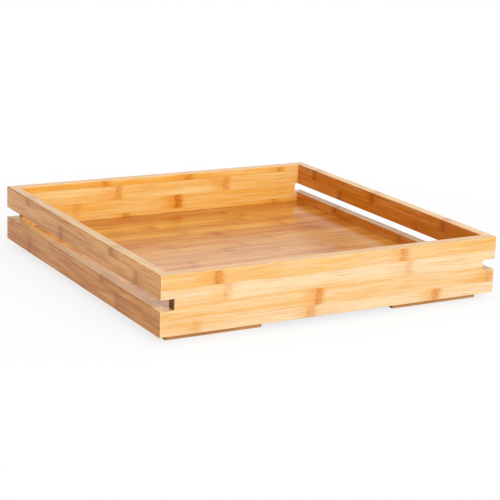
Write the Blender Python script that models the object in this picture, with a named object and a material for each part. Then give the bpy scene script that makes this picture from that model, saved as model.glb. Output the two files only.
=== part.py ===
"""A square bamboo tray: mitred boards round a bottom panel, with a slot along each side.

The origin is on the surface that the tray stands on, under the middle of its plan. X runs along
the front wall to the right, Y runs from the front wall to the back wall and Z points up. Lengths
are in metres.
"""
import math

import bmesh
import bpy
from mathutils import Matrix

# Outer frame of boards
TRAY_WIDTH = 0.400
TRAY_DEPTH = 0.400
BOARD_THICKNESS = 0.012
EDGE_RADIUS = 0.0006
GLUE_GAP = 0.0003

# Heights up a side, from the boards' lower edge: ledge, panel, lip, slot, upper rail
LEDGE_HEIGHT = 0.009
PANEL_THICKNESS = 0.006
LIP_HEIGHT = 0.011
SLOT_HEIGHT = 0.0114
UPPER_RAIL_HEIGHT = 0.0246

# Panel groove and slot ends
GROOVE_DEPTH = 0.005
NOTCH_PAST_RAIL = 0.0035

# Feet, glued under the panel just inside the boards
FOOT_DROP = 0.008
FOOT_LENGTH = 0.108
FOOT_WIDTH = 0.030
FOOT_CORNER_RADIUS = 0.0015
FOOT_CLEARANCE = 0.001

# Dowels across the mitres
DOWEL_DIAMETER = 0.005
DOWEL_CHAMFER = 0.0005
DOWEL_COVER = 0.0012

# How far a cutter runs past the faces that it cuts
OVERRUN = 0.004

# Heights worked out from the dimensions above
LOWER_RAIL_HEIGHT = LEDGE_HEIGHT + PANEL_THICKNESS + LIP_HEIGHT
UPPER_RAIL_BOTTOM = LOWER_RAIL_HEIGHT + SLOT_HEIGHT
WALL_HEIGHT = UPPER_RAIL_BOTTOM + UPPER_RAIL_HEIGHT
PANEL_BOTTOM = FOOT_DROP + LEDGE_HEIGHT

# Smoothness of the round forms
EDGE_SEGMENTS = 2
CORNER_SEGMENTS = 3
DOWEL_SIDES = 24
SMOOTH_ANGLE = math.radians(30)

# Colours as seen on a screen, 0 to 255
WALL_COLOUR = (232, 184, 122)
RAIL_COLOUR = (222, 170, 108)
PANEL_COLOUR = (216, 154, 92)
FOOT_COLOUR = (196, 138, 80)
DOWEL_COLOUR = (224, 192, 146)

# Roughness of the lacquered boards and of the bare dowels
LACQUER_ROUGHNESS = 0.35
BARE_ROUGHNESS = 0.7

# Signs of the corners' X and Y, and the turn that faces each side's outer face outwards
CORNERS = {
    "front_left": (-1, -1),
    "front_right": (1, -1),
    "back_right": (1, 1),
    "back_left": (-1, 1),
}
WALLS = {
    "front": ((0, -1), 0.0),
    "back": ((0, 1), math.pi),
}
RAILED_SIDES = {
    "left": ((-1, 0), -math.pi / 2),
    "right": ((1, 0), math.pi / 2),
}


def clear_scene():
    """Removes the objects that a new file starts with."""
    for thing in list(bpy.data.objects):
        bpy.data.objects.remove(thing, do_unlink=True)


def linear_colour(screen_colour):
    """Turns a screen colour into the linear values that a shader takes."""
    shares = [channel / 255 for channel in screen_colour]
    linear = [share / 12.92 if share <= 0.04045 else ((share + 0.055) / 1.055) ** 2.4 for share in shares]
    return (*linear, 1.0)


def wood_finish(name, screen_colour, roughness):
    """Makes one piece's material."""
    material = bpy.data.materials.new(name)
    material.use_nodes = True
    shader = material.node_tree.nodes["Principled BSDF"]
    shader.inputs["Base Color"].default_value = linear_colour(screen_colour)
    shader.inputs["Roughness"].default_value = roughness
    shader.inputs["Metallic"].default_value = 0.0
    return material


def add_object(name, shape, place=(0, 0, 0), turn=0.0):
    """Turns a bmesh into a named object, placed and turned about Z, and frees the bmesh."""
    bmesh.ops.recalc_face_normals(shape, faces=shape.faces)
    mesh = bpy.data.meshes.new(name)
    shape.to_mesh(mesh)
    shape.free()
    thing = bpy.data.objects.new(name, mesh)
    thing.location = place
    thing.rotation_euler = (0, 0, turn)
    bpy.context.scene.collection.objects.link(thing)
    return thing


def add_piece(name, shape, place, turn, colour, roughness=LACQUER_ROUGHNESS):
    """Adds a visible piece of the tray with its own finish."""
    piece = add_object(name, shape, place, turn)
    piece.data.materials.append(wood_finish(name + "_finish", colour, roughness))
    return piece


def add_cutter(name, shape):
    """Adds a shape that only cuts others and isn't part of the tray."""
    cutter = add_object(name, shape)
    cutter.hide_render = True
    cutter.display_type = "WIRE"
    return cutter


def cut(piece, cutter):
    """Cuts a piece with a cutter."""
    modifier = piece.modifiers.new("cut by " + cutter.name, "BOOLEAN")
    modifier.operation = "DIFFERENCE"
    modifier.solver = "EXACT"
    modifier.object = cutter


def add_box(shape, low, high):
    """Adds a box between two corners to a bmesh and returns its vertices."""
    sizes = [top - bottom for bottom, top in zip(low, high)]
    middle = [(top + bottom) / 2 for bottom, top in zip(low, high)]
    place = Matrix.Translation(middle) @ Matrix.Diagonal((*sizes, 1))
    return bmesh.ops.create_cube(shape, size=1, matrix=place)["verts"]


def eased_corner(y, z, start_angle):
    """Returns the points of one rounded section corner, whose arc is centred on (y, z)."""
    points = []
    for step in range(EDGE_SEGMENTS + 1):
        angle = start_angle + math.pi / 2 * step / EDGE_SEGMENTS
        points.append((y + EDGE_RADIUS * math.cos(angle), z + EDGE_RADIUS * math.sin(angle)))
    return points


def board_section(height, grooved):
    """Returns a board's section as (y, z) points, with y from the outer face inwards."""
    near = EDGE_RADIUS
    far = BOARD_THICKNESS - EDGE_RADIUS
    top = height - EDGE_RADIUS
    outline = eased_corner(near, near, math.pi)
    outline += eased_corner(far, near, -math.pi / 2)
    if grooved:
        outline += groove_outline()
    outline += eased_corner(far, top, 0.0)
    outline += eased_corner(near, top, math.pi / 2)
    return outline


def groove_outline():
    """Returns the groove that takes the panel's edge, with a glue gap on each side of the panel."""
    bottom = LEDGE_HEIGHT - GLUE_GAP
    top = LEDGE_HEIGHT + PANEL_THICKNESS + GLUE_GAP
    mouth = BOARD_THICKNESS
    floor = BOARD_THICKNESS - GROOVE_DEPTH
    return [(mouth, bottom), (floor, bottom), (floor, top), (mouth, top)]


def mitred_board(length, height, grooved):
    """Builds a board along X with both ends cut at 45 degrees, half a glue gap short of the mitre."""
    shape = bmesh.new()
    left_ring = []
    right_ring = []
    for y, z in board_section(height, grooved):
        reach = length / 2 - y - GLUE_GAP / math.sqrt(2)
        left_ring.append(shape.verts.new((-reach, y, z)))
        right_ring.append(shape.verts.new((reach, y, z)))
    count = len(left_ring)
    for index in range(count):
        after = (index + 1) % count
        shape.faces.new((left_ring[index], left_ring[after], right_ring[after], right_ring[index]))
    shape.faces.new(left_ring)
    shape.faces.new(right_ring)
    return shape


def side_place(signs, height):
    """Returns the middle of one side's outer face, at a height above the boards' lower edge."""
    return (signs[0] * TRAY_WIDTH / 2, signs[1] * TRAY_DEPTH / 2, FOOT_DROP + height)


def slot_cutter():
    """Builds the two straight cuts that open both sides' slots through the front and back walls."""
    shape = bmesh.new()
    inner = TRAY_WIDTH / 2 - BOARD_THICKNESS - NOTCH_PAST_RAIL
    outer = TRAY_WIDTH / 2 + OVERRUN
    reach = TRAY_DEPTH / 2 + OVERRUN
    bottom = FOOT_DROP + LOWER_RAIL_HEIGHT
    top = FOOT_DROP + UPPER_RAIL_BOTTOM
    add_box(shape, (inner, -reach, bottom), (outer, reach, top))
    add_box(shape, (-outer, -reach, bottom), (-inner, reach, top))
    return add_cutter("slot_cutter", shape)


def dowel_hole_radius():
    """Returns the radius of a dowel's hole."""
    return DOWEL_DIAMETER / 2 + GLUE_GAP


def dowel_inset():
    """Returns how far a dowel's middle lies in from both outer faces of its corner."""
    return BOARD_THICKNESS - DOWEL_COVER - dowel_hole_radius() / math.sqrt(2)


def dowel_hole_depth():
    """Returns a hole's depth from the mitre, which leaves the cover under the outer face."""
    return (dowel_inset() - DOWEL_COVER) * math.sqrt(2) - dowel_hole_radius()


def dowel_levels():
    """Returns the heights of a corner's two dowels: mid lip and mid upper rail."""
    mid_lip = LOWER_RAIL_HEIGHT - LIP_HEIGHT / 2
    mid_upper_rail = UPPER_RAIL_BOTTOM + UPPER_RAIL_HEIGHT / 2
    return {"lower": FOOT_DROP + mid_lip, "upper": FOOT_DROP + mid_upper_rail}


def dowel_places():
    """Lists the name, middle and turn of each dowel, whose axis is square to its mitre."""
    inset = dowel_inset()
    places = []
    for corner, (side_x, side_y) in CORNERS.items():
        for level, height in dowel_levels().items():
            middle = (side_x * (TRAY_WIDTH / 2 - inset), side_y * (TRAY_DEPTH / 2 - inset), height)
            turn = math.atan2(-side_y, side_x)
            places.append((f"{corner}_{level}_dowel", middle, turn))
    return places


def add_rod(shape, radius, length, place=Matrix.Identity(4)):
    """Adds a closed round rod along X to a bmesh and returns its vertices."""
    lying = Matrix.Rotation(math.pi / 2, 4, "Y")
    return bmesh.ops.create_cone(
        shape,
        cap_ends=True,
        segments=DOWEL_SIDES,
        radius1=radius,
        radius2=radius,
        depth=length,
        matrix=place @ lying,
    )["verts"]


def dowel_hole_cutter():
    """Builds the holes of all the dowels."""
    shape = bmesh.new()
    for _, middle, turn in dowel_places():
        place = Matrix.Translation(middle) @ Matrix.Rotation(turn, 4, "Z")
        add_rod(shape, dowel_hole_radius(), 2 * dowel_hole_depth(), place)
    return add_cutter("dowel_hole_cutter", shape)


def end_edges(shape):
    """Returns the edges round both ends of a rod."""
    caps = [face for face in shape.faces if len(face.verts) == DOWEL_SIDES]
    return list({edge for face in caps for edge in face.edges})


def build_walls(slot_cuts, dowel_holes):
    """Builds the full-height front and back walls."""
    pieces = []
    for side, (signs, turn) in WALLS.items():
        board = mitred_board(TRAY_WIDTH, WALL_HEIGHT, grooved=True)
        wall = add_piece(f"{side}_wall", board, side_place(signs, 0.0), turn, WALL_COLOUR)
        cut(wall, slot_cuts)
        cut(wall, dowel_holes)
        pieces.append(wall)
    return pieces


def build_rails(dowel_holes):
    """Builds the lower and the upper rail of both sides, with the open slot between them."""
    pieces = []
    for side, (signs, turn) in RAILED_SIDES.items():
        lower_board = mitred_board(TRAY_DEPTH, LOWER_RAIL_HEIGHT, grooved=True)
        upper_board = mitred_board(TRAY_DEPTH, UPPER_RAIL_HEIGHT, grooved=False)
        low_place = side_place(signs, 0.0)
        high_place = side_place(signs, UPPER_RAIL_BOTTOM)
        lower = add_piece(f"{side}_lower_rail", lower_board, low_place, turn, RAIL_COLOUR)
        upper = add_piece(f"{side}_upper_rail", upper_board, high_place, turn, RAIL_COLOUR)
        cut(lower, dowel_holes)
        cut(upper, dowel_holes)
        pieces += [lower, upper]
    return pieces


def build_panel():
    """Builds the bottom panel, which reaches into the grooves of all four lower boards."""
    in_groove = GROOVE_DEPTH - GLUE_GAP - BOARD_THICKNESS
    half_width = TRAY_WIDTH / 2 + in_groove
    half_depth = TRAY_DEPTH / 2 + in_groove
    shape = bmesh.new()
    add_box(shape, (-half_width, -half_depth, 0), (half_width, half_depth, PANEL_THICKNESS))
    return add_piece("bottom_panel", shape, (0, 0, PANEL_BOTTOM), 0.0, PANEL_COLOUR)


def foot_block():
    """Builds a foot that stands on its own origin, with rounded corners and an eased lower edge."""
    half_length = FOOT_LENGTH / 2
    half_width = FOOT_WIDTH / 2
    height = PANEL_BOTTOM - GLUE_GAP
    shape = bmesh.new()
    add_box(shape, (-half_length, -half_width, 0), (half_length, half_width, height))
    upright = [edge for edge in shape.edges if edge.verts[0].co.z != edge.verts[1].co.z]
    bmesh.ops.bevel(
        shape,
        geom=upright,
        offset=FOOT_CORNER_RADIUS,
        segments=CORNER_SEGMENTS,
        profile=0.5,
        affect="EDGES",
    )
    lower = [edge for edge in shape.edges if all(vertex.co.z < height / 2 for vertex in edge.verts)]
    bmesh.ops.bevel(
        shape,
        geom=lower,
        offset=EDGE_RADIUS,
        segments=EDGE_SEGMENTS,
        profile=0.5,
        affect="EDGES",
    )
    return shape


def build_feet():
    """Builds one foot in each corner, with its long side along the front or back wall."""
    inset_x = BOARD_THICKNESS + FOOT_CLEARANCE + FOOT_LENGTH / 2
    inset_y = BOARD_THICKNESS + FOOT_CLEARANCE + FOOT_WIDTH / 2
    pieces = []
    for corner, (side_x, side_y) in CORNERS.items():
        place = (side_x * (TRAY_WIDTH / 2 - inset_x), side_y * (TRAY_DEPTH / 2 - inset_y), 0)
        foot = add_piece(f"{corner}_foot", foot_block(), place, 0.0, FOOT_COLOUR)
        smooth_round_faces(foot)
        pieces.append(foot)
    return pieces


def build_dowels():
    """Builds the dowels that hold the mitres together."""
    length = 2 * (dowel_hole_depth() - GLUE_GAP)
    pieces = []
    for name, middle, turn in dowel_places():
        shape = bmesh.new()
        add_rod(shape, DOWEL_DIAMETER / 2, length)
        bmesh.ops.bevel(shape, geom=end_edges(shape), offset=DOWEL_CHAMFER, segments=1, affect="EDGES")
        dowel = add_piece(name, shape, middle, turn, DOWEL_COLOUR, BARE_ROUGHNESS)
        smooth_round_faces(dowel)
        pieces.append(dowel)
    return pieces


def smooth_round_faces(piece):
    """Shades the round faces smooth and keeps the real edges sharp."""
    piece.data.shade_smooth()
    piece.data.set_sharp_from_angle(angle=SMOOTH_ANGLE)


def build_tray():
    """Builds every piece and hangs them all on one empty at the origin."""
    clear_scene()
    slot_cuts = slot_cutter()
    dowel_holes = dowel_hole_cutter()
    pieces = build_walls(slot_cuts, dowel_holes)
    pieces += build_rails(dowel_holes)
    pieces.append(build_panel())
    pieces += build_feet()
    pieces += build_dowels()
    tray = bpy.data.objects.new("tray", None)
    bpy.context.scene.collection.objects.link(tray)
    for piece in pieces:
        piece.parent = tray


build_tray()
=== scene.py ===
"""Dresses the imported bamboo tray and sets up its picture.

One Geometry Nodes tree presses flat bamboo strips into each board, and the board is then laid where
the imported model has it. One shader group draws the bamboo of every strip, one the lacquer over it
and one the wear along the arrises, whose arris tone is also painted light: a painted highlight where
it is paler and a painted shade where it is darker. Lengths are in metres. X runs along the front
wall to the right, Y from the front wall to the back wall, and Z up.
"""
import logging
import random
from dataclasses import asdict, dataclass, fields, replace
from enum import Enum
from functools import cache
from math import cos, pi, radians, sin

import bmesh
import bpy
from mathutils import Euler, Matrix, Vector


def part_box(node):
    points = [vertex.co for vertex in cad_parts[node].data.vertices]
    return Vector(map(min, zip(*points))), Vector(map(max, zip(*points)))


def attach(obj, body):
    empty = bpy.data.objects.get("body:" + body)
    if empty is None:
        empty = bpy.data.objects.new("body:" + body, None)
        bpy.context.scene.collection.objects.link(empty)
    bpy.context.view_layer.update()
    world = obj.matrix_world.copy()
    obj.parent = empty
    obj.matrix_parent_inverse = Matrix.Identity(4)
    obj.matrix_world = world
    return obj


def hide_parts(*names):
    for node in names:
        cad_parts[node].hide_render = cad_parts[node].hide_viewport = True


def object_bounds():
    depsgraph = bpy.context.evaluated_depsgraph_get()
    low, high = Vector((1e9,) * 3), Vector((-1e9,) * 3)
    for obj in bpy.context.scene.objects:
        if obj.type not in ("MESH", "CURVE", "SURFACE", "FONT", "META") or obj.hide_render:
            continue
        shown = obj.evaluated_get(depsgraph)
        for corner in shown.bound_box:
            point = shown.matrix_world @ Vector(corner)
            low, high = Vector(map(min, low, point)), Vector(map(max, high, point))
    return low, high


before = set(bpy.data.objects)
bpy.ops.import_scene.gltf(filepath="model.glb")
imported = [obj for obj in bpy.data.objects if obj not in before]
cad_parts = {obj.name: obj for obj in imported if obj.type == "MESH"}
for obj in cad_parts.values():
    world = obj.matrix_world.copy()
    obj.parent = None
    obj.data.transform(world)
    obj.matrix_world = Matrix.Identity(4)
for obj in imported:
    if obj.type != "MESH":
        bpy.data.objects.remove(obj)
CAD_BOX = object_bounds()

ScreenColour = tuple[int, int, int]
Place = tuple[float, float, float]
Material = bpy.types.Material
Node = bpy.types.Node
Socket = bpy.types.NodeSocket
Thing = bpy.types.Object
Edge = bmesh.types.BMEdge
Face = bmesh.types.BMFace
Number = float | Socket

LOG = logging.getLogger("tray")
ROOT_BODY = "root"

# Pressed strips, and the fits between boards
STRIP_WIDTH = 0.0172
NARROWEST_STRIP = 0.003
JOINT_GAP = 0.00004
GROOVE_GAP = 0.0001

# How far each side of the tray is turned from the front
TURNS = {"front": 0.0, "back": pi, "left": -pi / 2, "right": pi / 2}

# Eased edges
ARRIS_RADIUS = 0.0006
ARRIS_SEGMENTS = 3
RIM_RADIUS = 0.0009
RIM_SEGMENTS = 4
CORNER_RADIUS = 0.0009
CORNER_TURN = radians(22.5)
SHARP_ANGLE = radians(50)
TOLERANCE = 1e-6

# Attributes that the boards' meshes carry for their finishes
STRIP_LOOK = "strip_look"
KNOT_PLACES = "knot_places"
KNOT_SHARES = "knot_shares"
# The strip's span, and the edge level of painted light on its narrow edges
STRIP_SPAN_AND_EDGE_LIGHT = "strip_span"
ARRIS = "arris"
OPEN_SPAN = 1.0
FAR_OFF = 50.0
MOST_SEED = 40

# Levels of a pattern between which its mask rises
FIBRE_LEVELS = (0.35, 0.75)
FLECK_LEVELS = (0.54, 0.68)
WARM_LEVELS = (0.5, 0.72)
HALO_LEVELS = (0.3, 0.7)
KNOT_LEVELS = (0.36, 0.62)
KNOT_LINE_LEVELS = (0.4, 0.6)
END_GRAIN_SHADE_LEVELS = (0.75, 0.95)
RUBBED_LEVELS = (0.36, 0.62)
PORE_LEVELS = (0.55, 0.75)

# Distances from a knot's middle or from a seam between which a mask rises or falls
HALO_RISE = (-0.03, -0.001)
HALO_FALL = (0.002, 0.012)
KNOT_FALL = (0.002, 0.0068)
KNOT_LINE_FALL = (0.0004, 0.0017)
KNOT_LINE_OFFSET = 0.0016
KNOT_UNEVENNESS = 0.008
SEAM_FALL = (0.00005, 0.00035)

# How fibres bend, and how far apart each strip's seed moves its patterns
BEND_REACH = (0.0, 0.0045, 0.0045)
SEED_STEPS = (1.37, 0.71, 0.33)

# How strongly each feature shows. A pair multiplies a mask, then adds to it.
EDGE_SHARE = 0.85
EDGE_STREAK_SHARES = (-0.5, 1.22)
FIBRE_SHARE = 0.12
FLECK_SHARE = 0.22
SEAM_SHARE = 0.08
TONE_SHARE = 1.5
KNOT_TO_KNOT_SHARE = 0.3
WARM_PATCH_SHARE = 0.35
HALO_SHARES = (0.45, 0.6)
KNOT_SPOT_SHARES = (0.34, 0.3)
KNOT_LINE_SHARE = 0.3
KNOT_EDGE_SHARES = (-0.6, 1.0)
FIBRE_HEIGHT_SHARE = 0.35
KNOT_HEIGHT_SHARE = 0.6
SEAM_HEIGHT_SHARE = -0.5
DULL_SHARE = 0.4
BRUSHED_ROUGH_SHARE = 0.22
BRUSHED_COAT_SHARE = 0.5
DULL_ROUGH_SHARE = 0.14
DULL_COAT_SHARE = -0.45
RUBBED_SHARES = (0.5, 0.4)
SPECULAR_SHARE = 0.2
BAMBOO_RELIEF = 0.0003

# Tones that no finish names, the first as seen on a screen and the others as a shader takes them
# End grain's tone: partly its own darker colour, partly painted shade of the notch ends and the feet's
# ends
END_GRAIN_AND_SHADE = (111, 67, 22)
DARK_WOOD = (0.12, 0.035, 0.0, 1.0)
WHITE = (1.0, 1.0, 1.0, 1.0)

# Kinds of trees and sockets
SHADER_TREE = "ShaderNodeTree"
NUMBER = "NodeSocketFloat"
VECTOR = "NodeSocketVector"
COLOUR = "NodeSocketColor"
COUNT = "NodeSocketInt"
GEOMETRY = {"Geometry": "NodeSocketGeometry"}
TONES = ("Pale", "Deep", "Warm", "Knot", "Rim")


class Pattern(Enum):
    """The soft random patterns: how many grains to a metre along X, Y and Z, and finer layers."""

    BENDS = (11.0, 26.0, 26.0, 1.0)
    BROAD = (5.0, 110.0, 110.0, 2.0)
    STREAKS = (20.0, 360.0, 360.0, 3.0)
    FIBRES = (26.0, 1300.0, 1300.0, 1.0)
    FLECKS = (32.0, 820.0, 820.0, 1.0)
    MOTTLING = (420.0, 620.0, 620.0, 2.0)
    KNOT_OUTLINE = (40.0, 150.0, 150.0, 2.0)
    KNOT_LINE = (90.0, 260.0, 260.0, 1.0)
    BRUSH_MARKS = (7.0, 90.0, 90.0, 2.0)
    RUBBING = (110.0, 240.0, 240.0, 2.0)
    DOWEL_RINGS = (260.0, 260.0, 900.0, 2.0)
    DOWEL_PORES = (900.0, 900.0, 2600.0, 1.0)


def linear_colour(colour: ScreenColour) -> tuple[float, ...]:
    """Turns a screen colour into the linear values that a shader takes.

    Args:
        colour: red, green and blue as seen on a screen, 0 to 255.

    Returns:
        Linear red, green, blue and an alpha of 1.
    """
    linear = []
    for channel in colour:
        share = channel / 255
        linear.append(share / 12.92 if share <= 0.04045 else ((share + 0.055) / 1.055) ** 2.4)
    return (*linear, 1.0)


def show(name: str, data: bpy.types.ID) -> Thing:
    """Puts a new object into the scene.

    Args:
        name: its name.
        data: its mesh, lens or lamp.

    Returns:
        The object.
    """
    thing = bpy.data.objects.new(name, data)
    bpy.context.scene.collection.objects.link(thing)
    return thing


def input_name(field: str) -> str:
    """Returns the name of the press's input for a field of a board's sizes."""
    return field.replace("_", " ").title()


class NodeBench:
    """Adds nodes to one tree, sets their inputs and joins them."""

    def __init__(self, tree: bpy.types.NodeTree) -> None:
        """Takes the tree that the bench works on."""
        self.tree = tree

    def feed(self, node: Node, inputs: dict) -> None:
        """Joins a node's inputs to other nodes' outputs, or sets their own values.

        Args:
            node: the node.
            inputs: an output socket or a plain value for each input, by its name or number.
        """
        for key, value in inputs.items():
            if isinstance(value, Socket):
                self.tree.links.new(value, node.inputs[key])
            else:
                node.inputs[key].default_value = value

    def add(self, kind: str, inputs: dict | None = None, **settings: object) -> Node:
        """Adds a node.

        Args:
            kind: the node's type name.
            inputs: what feeds its inputs.
            settings: the node's own settings.

        Returns:
            The new node.
        """
        node = self.tree.nodes.new(kind)
        for name, setting in settings.items():
            setattr(node, name, setting)
        self.feed(node, inputs or {})
        return node

    def math(self, operation: str, *values: Number, clamp: bool = False) -> Socket:
        """Returns the result of a sum of numbers, kept between 0 and 1 if clamped."""
        inputs = dict(enumerate(values))
        return self.add("ShaderNodeMath", inputs, operation=operation, use_clamp=clamp).outputs[0]

    def times(self, first: Number, second: Number, clamp: bool = False) -> Socket:
        """Returns the product of two numbers."""
        return self.math("MULTIPLY", first, second, clamp=clamp)

    def minus(self, first: Number, second: Number) -> Socket:
        """Returns the first number less the second."""
        return self.math("SUBTRACT", first, second)

    def line(self, number: Number, slope: Number, start: Number, clamp: bool = False) -> Socket:
        """Returns a number times a slope, added to a start."""
        return self.math("MULTIPLY_ADD", number, slope, start, clamp=clamp)

    def sway(self, pattern: Socket, reach: Number, base: Number, clamp: bool = False) -> Socket:
        """Returns a base that goes up and down as a pattern strays from its middle."""
        return self.line(self.minus(pattern, 0.5), reach, base, clamp)

    def smooth(self, value: Socket, low: float, high: float) -> Socket:
        """Returns a mask that eases from 0 where a value is low to 1 where it is high."""
        inputs = {"Value": value, "From Min": low, "From Max": high}
        return self.add("ShaderNodeMapRange", inputs, interpolation_type="SMOOTHSTEP").outputs[0]

    def fade(self, value: Socket, low: float, high: float) -> Socket:
        """Returns a mask that eases from 1 where a value is low to 0 where it is high."""
        return self.minus(1.0, self.smooth(value, low, high))

    def vector(self, operation: str, *values: Place | Socket) -> Socket:
        """Returns the result of a sum of vectors."""
        return self.add("ShaderNodeVectorMath", dict(enumerate(values)), operation=operation).outputs[0]

    def split(self, vector: Socket) -> list[Socket]:
        """Returns a vector's three parts."""
        return list(self.add("ShaderNodeSeparateXYZ", {0: vector}).outputs)

    def combine(self, x: Number, y: Number, z: Number) -> Socket:
        """Returns a vector made of three parts."""
        return self.add("ShaderNodeCombineXYZ", {0: x, 1: y, 2: z}).outputs[0]

    def blend(self, share: Number, first: object, second: object) -> Socket:
        """Returns the blend of two colours that takes a share of the second."""
        return self.add("ShaderNodeMix", {0: share, 6: first, 7: second}, data_type="RGBA").outputs[2]

    def noise(self, place: Socket, pattern: Pattern, output: int = 0) -> Socket:
        """Adds a soft random pattern.

        Args:
            place: the point that it is read at.
            pattern: which pattern it is.
            output: 0 for one number, or 1 for three numbers as a colour.

        Returns:
            The pattern.
        """
        *density, detail = pattern.value
        stretched = self.vector("MULTIPLY", place, density)
        inputs = {"Vector": stretched, "Scale": 1.0, "Detail": detail}
        return self.add("ShaderNodeTexNoise", inputs).outputs[output]

    def chance(self, number: Socket, second: Socket) -> Socket:
        """Returns a random value from 0 to 1 that is the same wherever both numbers are."""
        pair = {"Vector": self.combine(number, second, 0.0)}
        return self.add("ShaderNodeTexWhiteNoise", pair, noise_dimensions="3D").outputs[0]

    def attribute(self, name: str, output: str = "Vector") -> Socket:
        """Returns what the mesh carries under a name."""
        return self.add("ShaderNodeAttribute", attribute_name=name).outputs[output]

    def coordinates(self, kind: str) -> Socket:
        """Returns the object's own coordinates or normals."""
        return self.add("ShaderNodeTexCoord").outputs[kind]

    def relief(self, height: Socket, strength: float, distance: float) -> Socket:
        """Returns the surface's normal, bent by a height."""
        inputs = {"Strength": strength, "Distance": distance, "Height": height}
        return self.add("ShaderNodeBump", inputs).outputs[0]


class NodeGroup(NodeBench):
    """A node group, built once from named inputs to named outputs."""

    def __init__(self, kind: str, name: str, inputs: dict[str, str], outputs: dict[str, str]) -> None:
        """Starts the group.

        Args:
            kind: the kind of its tree.
            name: its name.
            inputs: the kind of each named input.
            outputs: the kind of each named output.
        """
        super().__init__(bpy.data.node_groups.new(name, kind))
        for in_out, sockets in (("INPUT", inputs), ("OUTPUT", outputs)):
            for label, socket in sockets.items():
                self.tree.interface.new_socket(name=label, in_out=in_out, socket_type=socket)
        self.given = self.add("NodeGroupInput").outputs
        self.taken = self.add("NodeGroupOutput")

    def use(self, bench: NodeBench, inputs: dict[str, object]) -> dict[str, Socket]:
        """Places the group in a material, fed as given, and returns its outputs."""
        return bench.add("ShaderNodeGroup", inputs, node_tree=self.tree).outputs


@dataclass(frozen=True)
class Knot:
    """A knot of a strip: how far it lies from the board's left or front end, and how strong it is."""

    place: float
    share: float


@dataclass(frozen=True)
class Strip:
    """One bamboo strip of a board, with up to three knots.

    deep_share goes from 0, the pale tone, to 1, the deep one, and warm_share towards orange.
    """

    deep_share: float
    warm_share: float
    knots: tuple[Knot, ...] = ()

    def three_knots(self) -> list[Knot]:
        """Returns three knots, of which the missing ones lie far off the board."""
        return [*self.knots, *[Knot(FAR_OFF, 0.0)] * 3][:3]


@dataclass(frozen=True)
class Layup:
    """What one board is pressed from: its strips from the top down, and how wide the top one is.

    Its edge level scales the rim tone of its narrow edges as painted light: 1 is the finish's rim tone,
    and less is darker, matching how much light falls on each rim.
    """

    node: str
    strips: tuple[Strip, ...]
    top_strip: float = STRIP_WIDTH
    painted_edge_light: float = 1.0


@dataclass(frozen=True)
class BoardSizes:
    """A board's sizes: along it, up its strips, and from its outer face inwards.

    mitre is 1 where the ends are cut for one. A notch takes a slot out through an end, and a groove
    in the inner face takes the panel's edge. Their heights are above the board's lower edge.
    """

    length: float
    height: float
    depth: float
    top_strip: float
    mitre: float = 0.0
    notch_count: int = 0
    notch_length: float = 0.0
    notch_bottom: float = 0.0
    notch_top: float = 0.0
    groove_count: int = 0
    groove_depth: float = 0.0
    groove_bottom: float = 0.0
    groove_top: float = 0.0
    strip_width: float = STRIP_WIDTH
    joint_gap: float = JOINT_GAP

    def seams(self) -> list[float]:
        """Lists the glue seams between the strips.

        Returns:
            The seams' heights, from the top one down.
        """
        heights = []
        height = self.height - self.top_strip
        while height > NARROWEST_STRIP:
            heights.append(height)
            height -= self.strip_width
        return heights

    def on_mitre(self, point: Vector) -> bool:
        """Says whether a point lies on the joint at either end."""
        reach = self.length / 2 - self.joint_gap - self.mitre * point.y
        return abs(point.x) > reach - 2 * TOLERANCE

    def in_groove(self, point: Vector) -> bool:
        """Finds out whether a point lies in the panel's groove or on its mouth.

        Args:
            point: the point.

        Returns:
            Whether it does.
        """
        is_deep = point.y > self.depth - self.groove_depth - TOLERANCE
        is_level = self.groove_bottom - TOLERANCE < point.z < self.groove_top + TOLERANCE
        return self.groove_count > 0 and is_deep and is_level


class Lie(Enum):
    """Which way a board lies, as the turn in degrees that brings its strips to the pattern's axes.

    In the pattern X runs along the strips, Y across them and Z into the board.
    """

    ALONG_X = (-90, 0, 0)
    ALONG_Y = (-90, -90, 0)
    FLAT = (0, 0, 0)

    def turn(self) -> Place:
        """Returns the turn in radians."""
        return tuple(radians(angle) for angle in self.value)

    def pattern_point(self, point: Vector) -> Vector:
        """Returns where a point of the tray lies in the pattern."""
        return Euler(self.turn()).to_matrix() @ point


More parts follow.
